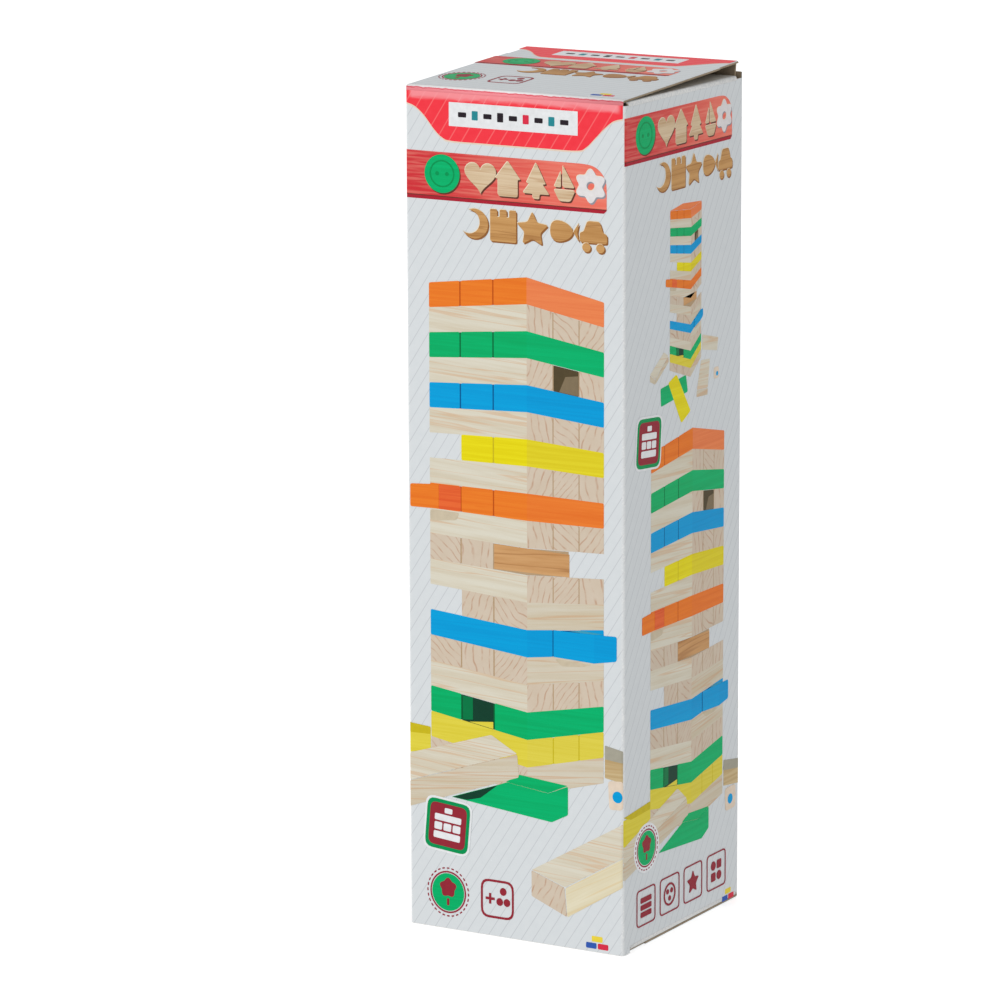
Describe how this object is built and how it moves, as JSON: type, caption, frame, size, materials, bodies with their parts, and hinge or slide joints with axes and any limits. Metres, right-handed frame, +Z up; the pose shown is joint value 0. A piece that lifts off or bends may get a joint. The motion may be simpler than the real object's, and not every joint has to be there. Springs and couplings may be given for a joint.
{
  "type": "tumbling tower game in a tuck-end carton",
  "caption": "Tall square tuck-end carton with folding lid, base, tongues and dust flaps, packed with a stack of plain and coloured wooden tower blocks and a die.",
  "frame": {"origin": "middle of the carton's base, on the surface that it stands on", "axes": "+Z up, +X to the right and -Y to the front, where the lid is hinged"},
  "size_m": [0.08, 0.08, 0.2811],
  "materials": {
    "printed_board": "white-lined board, printed and varnished outside, bare grey-brown inside",
    "natural_wood": "sanded, bare pine",
    "orange_wood": "stained and sealed, satin",
    "green_wood": "stained and sealed, satin",
    "blue_wood": "stained and sealed, satin",
    "yellow_wood": "stained and sealed, satin"
  },
  "bodies": {
    "carton": {"sleeve": "printed_board", "die": "natural_wood", "natural_level_02": "natural_wood", "natural_level_04": "natural_wood", "natural_level_06": "natural_wood", "natural_level_08": "natural_wood", "natural_level_10": "natural_wood", "natural_level_11": "natural_wood", "natural_level_12": "natural_wood", "natural_level_13": "natural_wood", "natural_level_15": "natural_wood", "natural_level_16": "natural_wood", "natural_level_19": "natural_wood", "orange_block_1": "orange_wood", "orange_block_2": "orange_wood", "orange_block_3": "orange_wood", "green_block_1": "green_wood", "green_block_2": "green_wood", "green_block_3": "green_wood", "blue_block_1": "blue_wood", "blue_block_2": "blue_wood", "blue_block_3": "blue_wood", "yellow_block_1": "yellow_wood", "yellow_block_2": "yellow_wood", "yellow_block_3": "yellow_wood", "orange_block_4": "orange_wood", "orange_block_5": "orange_wood", "orange_block_6": "orange_wood", "blue_block_4": "blue_wood", "blue_block_5": "blue_wood", "blue_block_6": "blue_wood", "green_block_4": "green_wood", "green_block_5": "green_wood", "green_block_6": "green_wood", "yellow_block_4": "yellow_wood", "yellow_block_5": "yellow_wood", "yellow_block_6": "yellow_wood"},
    "lid": {"lid": "printed_board"},
    "lid_tongue": {"lid_tongue": "printed_board"},
    "dust_flap_left": {"dust_flap_left": "printed_board"},
    "dust_flap_right": {"dust_flap_right": "printed_board"},
    "base_panel": {"base_panel": "printed_board"},
    "base_tongue": {"base_tongue": "printed_board"},
    "base_flap_left": {"base_flap_left": "printed_board"},
    "base_flap_right": {"base_flap_right": "printed_board"}
  },
  "joints": [
    {"name": "lid_hinge", "type": "hinge", "parent": "carton", "child": "lid", "pos_m": [0, -0.04, 0.2775], "axis": [1, 0, 0], "range_deg": [-2.67, 222]},
    {"name": "lid_tongue_fold", "type": "hinge", "parent": "lid", "child": "lid_tongue", "pos_m": [0, 0.03861, 0.28117], "axis": [1, 0, 0], "range_deg": [-0.67, 55.5]},
    {"name": "dust_flap_left_fold", "type": "hinge", "parent": "carton", "child": "dust_flap_left", "pos_m": [-0.04, 0, 0.27655], "axis": [0, -1, 0], "range_deg": [-1.33, 111]},
    {"name": "dust_flap_right_fold", "type": "hinge", "parent": "carton", "child": "dust_flap_right", "pos_m": [0.04, 0, 0.27655], "axis": [0, 1, 0], "range_deg": [-1.33, 111]},
    {"name": "base_hinge", "type": "hinge", "parent": "carton", "child": "base_panel", "pos_m": [0, 0.04, 0], "axis": [1, 0, 0], "range_deg": [0, 222]},
    {"name": "base_tongue_fold", "type": "hinge", "parent": "base_panel", "child": "base_tongue", "pos_m": [0, -0.038, 0], "axis": [1, 0, 0], "range_deg": [0, 22.2]},
    {"name": "base_flap_left_fold", "type": "hinge", "parent": "carton", "child": "base_flap_left", "pos_m": [-0.04, 0, 0.00095], "axis": [0, 1, 0], "range_deg": [0, 111]},
    {"name": "base_flap_right_fold", "type": "hinge", "parent": "carton", "child": "base_flap_right", "pos_m": [0.04, 0, 0.00095], "axis": [0, -1, 0], "range_deg": [0, 111]}
  ],
  "couplings": [
    {"joint": "lid_tongue_fold", "follows": "lid_hinge", "ratio": 0.25},
    {"joint": "dust_flap_left_fold", "follows": "lid_hinge", "ratio": 0.5},
    {"joint": "dust_flap_right_fold", "follows": "lid_hinge", "ratio": 0.5},
    {"joint": "base_tongue_fold", "follows": "base_hinge", "ratio": 0.1},
    {"joint": "base_flap_left_fold", "follows": "base_hinge", "ratio": 0.5},
    {"joint": "base_flap_right_fold", "follows": "base_hinge", "ratio": 0.5}
  ]
}
